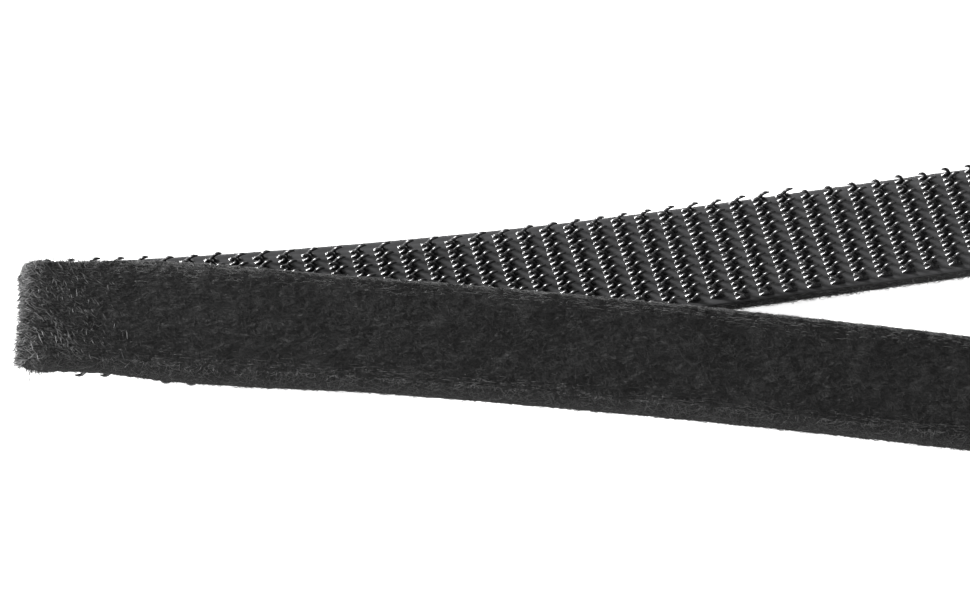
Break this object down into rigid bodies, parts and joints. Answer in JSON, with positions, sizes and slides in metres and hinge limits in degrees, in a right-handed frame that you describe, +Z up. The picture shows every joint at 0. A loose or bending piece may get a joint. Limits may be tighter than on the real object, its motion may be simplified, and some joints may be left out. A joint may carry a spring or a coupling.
{
  "type": "hook and loop tape roll",
  "caption": "Narrow black back-to-back hook and loop tape wound on a paper core, its start run out flat and folded back over itself with the brushed loop side out.",
  "frame": {"origin": "on the surface that the part stands on, under the middle of its box", "axes": "+X along the flat leg from the fold to the roll, +Y across the tape away from the free end, +Z up"},
  "size_m": [0.1644, 0.0312, 0.0791],
  "materials": {
    "loop_fabric": "brushed knitted nylon loops, black, matte",
    "hook_plastic": "moulded polyamide, black, glossy",
    "bond_film": "hot-melt film, black",
    "core_paper": "spirally wound brown paperboard"
  },
  "bodies": {
    "roll": {"core_tube": "core_paper", "loop_fabric_winding": "loop_fabric", "bond_film_winding": "bond_film", "hook_ribbon_winding": "hook_plastic", "loop_fabric_leg": "loop_fabric", "bond_film_leg": "bond_film", "hook_ribbon_leg": "hook_plastic", "loop_fabric_fold": "loop_fabric", "bond_film_fold": "bond_film", "hook_ribbon_fold": "hook_plastic"},
    "free_end": {"loop_fabric_free_end": "loop_fabric", "bond_film_free_end": "bond_film", "hook_ribbon_free_end": "hook_plastic"}
  },
  "joints": [
    {"name": "fold_hinge", "type": "hinge", "parent": "roll", "child": "free_end", "pos_m": [-0.07904, 0.00939, 0.00638], "axis": [-0.1167, -0.9932, 0], "range_deg": [0, 165], "deforming": ["loop_fabric_fold", "bond_film_fold", "hook_ribbon_fold"]}
  ]
}
